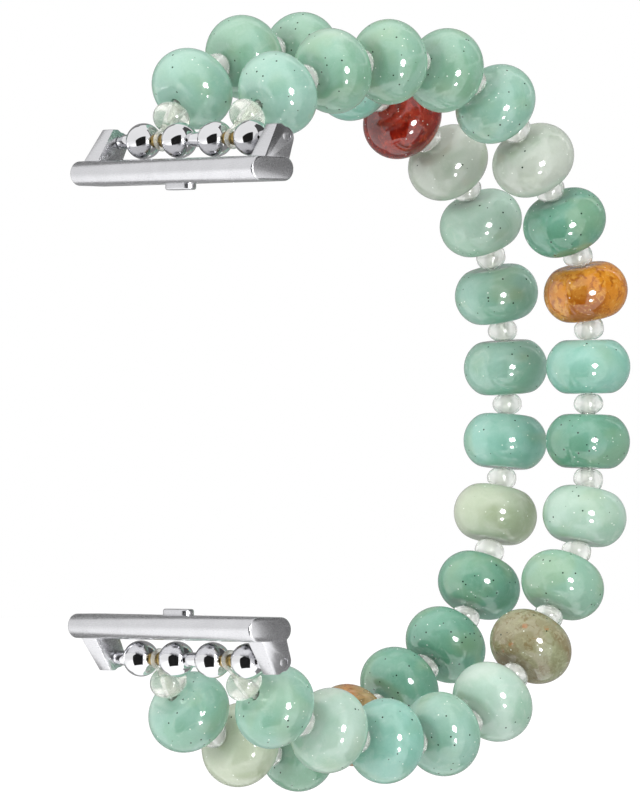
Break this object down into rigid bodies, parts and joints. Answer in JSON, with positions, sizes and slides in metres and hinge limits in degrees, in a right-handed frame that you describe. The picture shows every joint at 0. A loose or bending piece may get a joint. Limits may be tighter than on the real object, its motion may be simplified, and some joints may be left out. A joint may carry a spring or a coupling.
{
  "type": "natural stone stretch watch band",
  "caption": "Stretch watch band: two strands of polished stone beads with clear spacers on elastic, pinned to a steel lug adapter at each end.",
  "frame": {"origin": "middle of the top adapter's lug bar, which slides into the watch", "axes": "+X across the band along the lug bar, +Y from the watch face to the wrist, +Z to twelve o'clock"},
  "size_m": [0.026, 0.0532, 0.0738],
  "materials": {
    "stone_green": "polished, slightly translucent, cloudy",
    "stone_dark_green": "polished, slightly translucent, cloudy",
    "stone_aqua": "polished, slightly translucent, cloudy",
    "stone_pale": "polished, slightly translucent, cloudy",
    "stone_red": "polished, slightly translucent, cloudy",
    "stone_amber": "polished, slightly translucent, cloudy",
    "stone_tan": "polished, slightly translucent, cloudy",
    "stone_brown": "polished, slightly translucent, cloudy",
    "clear_glass": "clear, glossy",
    "satin_steel": "satin",
    "polished_steel": "mirror polished",
    "gilt_rings": "polished, pale gold",
    "elastic": "clear to milky, smooth"
  },
  "bodies": {
    "top_adapter": {"top_adapter_frame": "satin_steel", "top_pin": "satin_steel"},
    "top_latch": {"top_latch_button": "satin_steel"},
    "top_steel_row": {"top_steel_beads": "polished_steel"},
    "top_strand_end": {"top_ring_spacers": "gilt_rings", "top_end_beads": "clear_glass", "left_elastic_cord": "elastic", "right_elastic_cord": "elastic"},
    "section_01": {"clear_spacers_01": "clear_glass"},
    "section_02": {"clear_spacers_02": "clear_glass"},
    "section_03": {"clear_spacers_03": "clear_glass"},
    "section_04": {"clear_spacers_04": "clear_glass"},
    "section_05": {"clear_spacers_05": "clear_glass"},
    "section_06": {"clear_spacers_06": "clear_glass"},
    "section_07": {"clear_spacers_07": "clear_glass"},
    "section_08": {"clear_spacers_08": "clear_glass"},
    "section_09": {"clear_spacers_09": "clear_glass"},
    "section_10": {"clear_spacers_10": "clear_glass"},
    "bottom_strand_end": {"bottom_end_beads": "clear_glass", "bottom_ring_spacers": "gilt_rings"},
    "bottom_adapter": {"bottom_adapter_frame": "satin_steel", "bottom_pin": "satin_steel"},
    "bottom_steel_row": {"bottom_steel_beads": "polished_steel"},
    "bottom_latch": {"bottom_latch_button": "satin_steel"},
    "left_bead_01": {"left_stone_01": "stone_green"},
    "left_bead_02": {"left_stone_02": "stone_green"},
    "left_bead_03": {"left_stone_03": "stone_dark_green"},
    "left_bead_04": {"left_stone_04": "stone_green"},
    "left_bead_05": {"left_stone_05": "stone_red"},
    "left_bead_06": {"left_stone_06": "stone_pale"},
    "left_bead_07": {"left_stone_07": "stone_aqua"},
    "left_bead_08": {"left_stone_08": "stone_green"},
    "left_bead_09": {"left_stone_09": "stone_green"},
    "left_bead_10": {"left_stone_10": "stone_aqua"},
    "left_bead_11": {"left_stone_11": "stone_pale"},
    "left_bead_12": {"left_stone_12": "stone_dark_green"},
    "left_bead_13": {"left_stone_13": "stone_green"},
    "left_bead_14": {"left_stone_14": "stone_dark_green"},
    "left_bead_15": {"left_stone_15": "stone_brown"},
    "left_bead_16": {"left_stone_16": "stone_dark_green"},
    "left_bead_17": {"left_stone_17": "stone_pale"},
    "left_bead_18": {"left_stone_18": "stone_aqua"},
    "right_bead_01": {"right_stone_01": "stone_green"},
    "right_bead_02": {"right_stone_02": "stone_green"},
    "right_bead_03": {"right_stone_03": "stone_green"},
    "right_bead_04": {"right_stone_04": "stone_green"},
    "right_bead_05": {"right_stone_05": "stone_aqua"},
    "right_bead_06": {"right_stone_06": "stone_pale"},
    "right_bead_07": {"right_stone_07": "stone_dark_green"},
    "right_bead_08": {"right_stone_08": "stone_amber"},
    "right_bead_09": {"right_stone_09": "stone_aqua"},
    "right_bead_10": {"right_stone_10": "stone_dark_green"},
    "right_bead_11": {"right_stone_11": "stone_pale"},
    "right_bead_12": {"right_stone_12": "stone_aqua"},
    "right_bead_13": {"right_stone_13": "stone_tan"},
    "right_bead_14": {"right_stone_14": "stone_aqua"},
    "right_bead_15": {"right_stone_15": "stone_aqua"},
    "right_bead_16": {"right_stone_16": "stone_green"},
    "right_bead_17": {"right_stone_17": "stone_aqua"},
    "right_bead_18": {"right_stone_18": "stone_aqua"}
  },
  "joints": [
    {"name": "stretch", "type": "slide", "parent": "top_strand_end", "child": "section_01", "axis": [0, 0.7767, 0.6299], "range_m": [0, 0.0045], "stiffness_N_per_m": 1500, "springref_m": -0.0012, "deforming": ["left_elastic_cord", "right_elastic_cord"]},
    {"name": "top_pivot", "type": "hinge", "parent": "top_adapter", "child": "top_strand_end", "pos_m": [0, 0.002, 0.003], "axis": [1, 0, 0], "range_deg": [-30, 30]},
    {"name": "bottom_pivot", "type": "hinge", "parent": "bottom_strand_end", "child": "bottom_adapter", "pos_m": [0, 0.002, -0.0454], "axis": [1, 0, 0], "range_deg": [-30, 30]},
    {"name": "flex_1", "type": "hinge", "parent": "section_01", "child": "section_02", "pos_m": [0, 0.02384, 0.01086], "axis": [1, 0, 0], "range_deg": [-5, 17]},
    {"name": "flex_2", "type": "hinge", "parent": "section_03", "child": "section_04", "pos_m": [0, 0.0414, -0.00075], "axis": [1, 0, 0], "range_deg": [-5, 17]},
    {"name": "flex_3", "type": "hinge", "parent": "section_05", "child": "section_06", "pos_m": [0, 0.04665, -0.0212], "axis": [1, 0, 0], "range_deg": [-5, 17]},
    {"name": "flex_4", "type": "hinge", "parent": "section_07", "child": "section_08", "pos_m": [0, 0.0414, -0.04165], "axis": [1, 0, 0], "range_deg": [-5, 17]},
    {"name": "flex_5", "type": "hinge", "parent": "section_09", "child": "section_10", "pos_m": [0, 0.02384, -0.05326], "axis": [1, 0, 0], "range_deg": [-5, 17]},
    {"name": "top_latch_press", "type": "slide", "parent": "top_adapter", "child": "top_latch", "axis": [0, 0, 1], "range_m": [0, 0.0005], "stiffness_N_per_m": 300, "springref_m": -0.0005},
    {"name": "bottom_latch_press", "type": "slide", "parent": "bottom_adapter", "child": "bottom_latch", "axis": [0, 0, -1], "range_m": [0, 0.0005], "stiffness_N_per_m": 300, "springref_m": -0.0005},
    {"name": "top_row_spin", "type": "hinge", "parent": "top_adapter", "child": "top_steel_row", "pos_m": [0, 0.002, 0.003], "axis": [1, 0, 0], "continuous": true},
    {"name": "bottom_row_spin", "type": "hinge", "parent": "bottom_adapter", "child": "bottom_steel_row", "pos_m": [0, 0.002, -0.0454], "axis": [1, 0, 0], "continuous": true},
    {"name": "stretch_2", "type": "slide", "parent": "section_02", "child": "section_03", "axis": [0, 0.7627, -0.6468], "range_m": [0, 0.0045]},
    {"name": "stretch_3", "type": "slide", "parent": "section_04", "child": "section_05", "axis": [0, 0.1136, -0.9935], "range_m": [0, 0.0045]},
    {"name": "stretch_4", "type": "slide", "parent": "section_06", "child": "section_07", "axis": [0, -0.1136, -0.9935], "range_m": [0, 0.0045]},
    {"name": "stretch_5", "type": "slide", "parent": "section_08", "child": "section_09", "axis": [0, -0.7627, -0.6468], "range_m": [0, 0.0045]},
    {"name": "stretch_6", "type": "slide", "parent": "section_10", "child": "bottom_strand_end", "axis": [0, -0.7767, 0.6299], "range_m": [0, 0.0045]},
    {"name": "left_spin_01", "type": "hinge", "parent": "section_01", "child": "left_bead_01", "pos_m": [-0.00574, 0.00629, 0.00801], "axis": [-0.0488, 0.8108, 0.5833], "continuous": true},
    {"name": "left_spin_02", "type": "hinge", "parent": "section_01", "child": "left_bead_02", "pos_m": [-0.00574, 0.0127, 0.01117], "axis": [0, 0.965, 0.2624], "continuous": true},
    {"name": "left_spin_03", "type": "hinge", "parent": "section_01", "child": "left_bead_03", "pos_m": [-0.00574, 0.01983, 0.0117], "axis": [0, 0.9929, -0.1189], "continuous": true},
    {"name": "left_spin_04", "type": "hinge", "parent": "section_02", "child": "left_bead_04", "pos_m": [-0.00574, 0.02664, 0.0095], "axis": [0, 0.9145, -0.4046], "continuous": true},
    {"name": "left_spin_05", "type": "hinge", "parent": "section_02", "child": "left_bead_05", "pos_m": [-0.00574, 0.03284, 0.00594], "axis": [0, 0.8491, -0.5282], "continuous": true},
    {"name": "left_spin_06", "type": "hinge", "parent": "section_03", "child": "left_bead_06", "pos_m": [-0.00574, 0.03877, 0.00196], "axis": [0, 0.7265, -0.6872], "continuous": true},
    {"name": "left_spin_07", "type": "hinge", "parent": "section_04", "child": "left_bead_07", "pos_m": [-0.00574, 0.04308, -0.00375], "axis": [0, 0.4548, -0.8906], "continuous": true},
    {"name": "left_spin_08", "type": "hinge", "parent": "section_04", "child": "left_bead_08", "pos_m": [-0.00574, 0.04518, -0.01058], "axis": [0, 0.2339, -0.9723], "continuous": true},
    {"name": "left_spin_09", "type": "hinge", "parent": "section_05", "child": "left_bead_09", "pos_m": [-0.00574, 0.04642, -0.01762], "axis": [0, 0.0873, -0.9962], "continuous": true},
    {"name": "left_spin_10", "type": "hinge", "parent": "section_06", "child": "left_bead_10", "pos_m": [-0.00574, 0.04642, -0.02477], "axis": [0, -0.0873, -0.9962], "continuous": true},
    {"name": "left_spin_11", "type": "hinge", "parent": "section_07", "child": "left_bead_11", "pos_m": [-0.00574, 0.04518, -0.03182], "axis": [0, -0.2339, -0.9723], "continuous": true},
    {"name": "left_spin_12", "type": "hinge", "parent": "section_07", "child": "left_bead_12", "pos_m": [-0.00574, 0.04308, -0.03865], "axis": [0, -0.4548, -0.8906], "continuous": true},
    {"name": "left_spin_13", "type": "hinge", "parent": "section_08", "child": "left_bead_13", "pos_m": [-0.00574, 0.03877, -0.04436], "axis": [0, -0.7265, -0.6872], "continuous": true},
    {"name": "left_spin_14", "type": "hinge", "parent": "section_09", "child": "left_bead_14", "pos_m": [-0.00574, 0.03284, -0.04834], "axis": [0, -0.8491, -0.5282], "continuous": true},
    {"name": "left_spin_15", "type": "hinge", "parent": "section_09", "child": "left_bead_15", "pos_m": [-0.00574, 0.02664, -0.0519], "axis": [0, -0.9145, -0.4046], "continuous": true},
    {"name": "left_spin_16", "type": "hinge", "parent": "section_10", "child": "left_bead_16", "pos_m": [-0.00574, 0.01983, -0.0541], "axis": [0, -0.9929, -0.1189], "continuous": true},
    {"name": "left_spin_17", "type": "hinge", "parent": "section_10", "child": "left_bead_17", "pos_m": [-0.00574, 0.0127, -0.05357], "axis": [0, -0.965, 0.2624], "continuous": true},
    {"name": "left_spin_18", "type": "hinge", "parent": "section_10", "child": "left_bead_18", "pos_m": [-0.00574, 0.00629, -0.05041], "axis": [0.0488, -0.8108, 0.5833], "continuous": true},
    {"name": "right_spin_01", "type": "hinge", "parent": "section_01", "child": "right_bead_01", "pos_m": [0.00574, 0.0069, 0.00729], "axis": [0.0485, 0.8996, 0.4339], "continuous": true},
    {"name": "right_spin_02", "type": "hinge", "parent": "section_01", "child": "right_bead_02", "pos_m": [0.00574, 0.01367, 0.00958], "axis": [0, 0.9716, 0.2366], "continuous": true},
    {"name": "right_spin_03", "type": "hinge", "parent": "section_01", "child": "right_bead_03", "pos_m": [0.00574, 0.02074, 0.01066], "axis": [0, 0.9993, 0.0368], "continuous": true},
    {"name": "right_spin_04", "type": "hinge", "parent": "section_02", "child": "right_bead_04", "pos_m": [0.00574, 0.02786, 0.01011], "axis": [0, 0.9681, -0.2504], "continuous": true},
    {"name": "right_spin_05", "type": "hinge", "parent": "section_02", "child": "right_bead_05", "pos_m": [0.00574, 0.03437, 0.00713], "axis": [0, 0.8127, -0.5827], "continuous": true},
    {"name": "right_spin_06", "type": "hinge", "parent": "section_03", "child": "right_bead_06", "pos_m": [0.00574, 0.03927, 0.00193], "axis": [0, 0.6328, -0.7743], "continuous": true},
    {"name": "right_spin_07", "type": "hinge", "parent": "section_04", "child": "right_bead_07", "pos_m": [0.00574, 0.04339, -0.00391], "axis": [0, 0.4878, -0.873], "continuous": true},
    {"name": "right_spin_08", "type": "hinge", "parent": "section_04", "child": "right_bead_08", "pos_m": [0.00574, 0.04621, -0.01048], "axis": [0, 0.2264, -0.974], "continuous": true},
    {"name": "right_spin_09", "type": "hinge", "parent": "section_05", "child": "right_bead_09", "pos_m": [0.00574, 0.04658, -0.01762], "axis": [0, 0.0264, -0.9997], "continuous": true},
    {"name": "right_spin_10", "type": "hinge", "parent": "section_06", "child": "right_bead_10", "pos_m": [0.00574, 0.04658, -0.02477], "axis": [0, -0.0264, -0.9997], "continuous": true},
    {"name": "right_spin_11", "type": "hinge", "parent": "section_07", "child": "right_bead_11", "pos_m": [0.00574, 0.04621, -0.03192], "axis": [0, -0.2264, -0.974], "continuous": true},
    {"name": "right_spin_12", "type": "hinge", "parent": "section_07", "child": "right_bead_12", "pos_m": [0.00574, 0.04339, -0.03849], "axis": [0, -0.4878, -0.873], "continuous": true},
    {"name": "right_spin_13", "type": "hinge", "parent": "section_08", "child": "right_bead_13", "pos_m": [0.00574, 0.03927, -0.04433], "axis": [0, -0.6328, -0.7743], "continuous": true},
    {"name": "right_spin_14", "type": "hinge", "parent": "section_09", "child": "right_bead_14", "pos_m": [0.00574, 0.03437, -0.04953], "axis": [0, -0.8127, -0.5827], "continuous": true},
    {"name": "right_spin_15", "type": "hinge", "parent": "section_09", "child": "right_bead_15", "pos_m": [0.00574, 0.02786, -0.05251], "axis": [0, -0.9681, -0.2504], "continuous": true},
    {"name": "right_spin_16", "type": "hinge", "parent": "section_10", "child": "right_bead_16", "pos_m": [0.00574, 0.02074, -0.05306], "axis": [0, -0.9993, 0.0368], "continuous": true},
    {"name": "right_spin_17", "type": "hinge", "parent": "section_10", "child": "right_bead_17", "pos_m": [0.00574, 0.01367, -0.05198], "axis": [0, -0.9716, 0.2366], "continuous": true},
    {"name": "right_spin_18", "type": "hinge", "parent": "section_10", "child": "right_bead_18", "pos_m": [0.00574, 0.0069, -0.04969], "axis": [-0.0485, -0.8996, 0.4339], "continuous": true}
  ],
  "couplings": [
    {"joint": "stretch_2", "follows": "stretch", "ratio": 1},
    {"joint": "stretch_3", "follows": "stretch", "ratio": 1},
    {"joint": "stretch_4", "follows": "stretch", "ratio": 1},
    {"joint": "stretch_5", "follows": "stretch", "ratio": 1},
    {"joint": "stretch_6", "follows": "stretch", "ratio": 1}
  ]
}
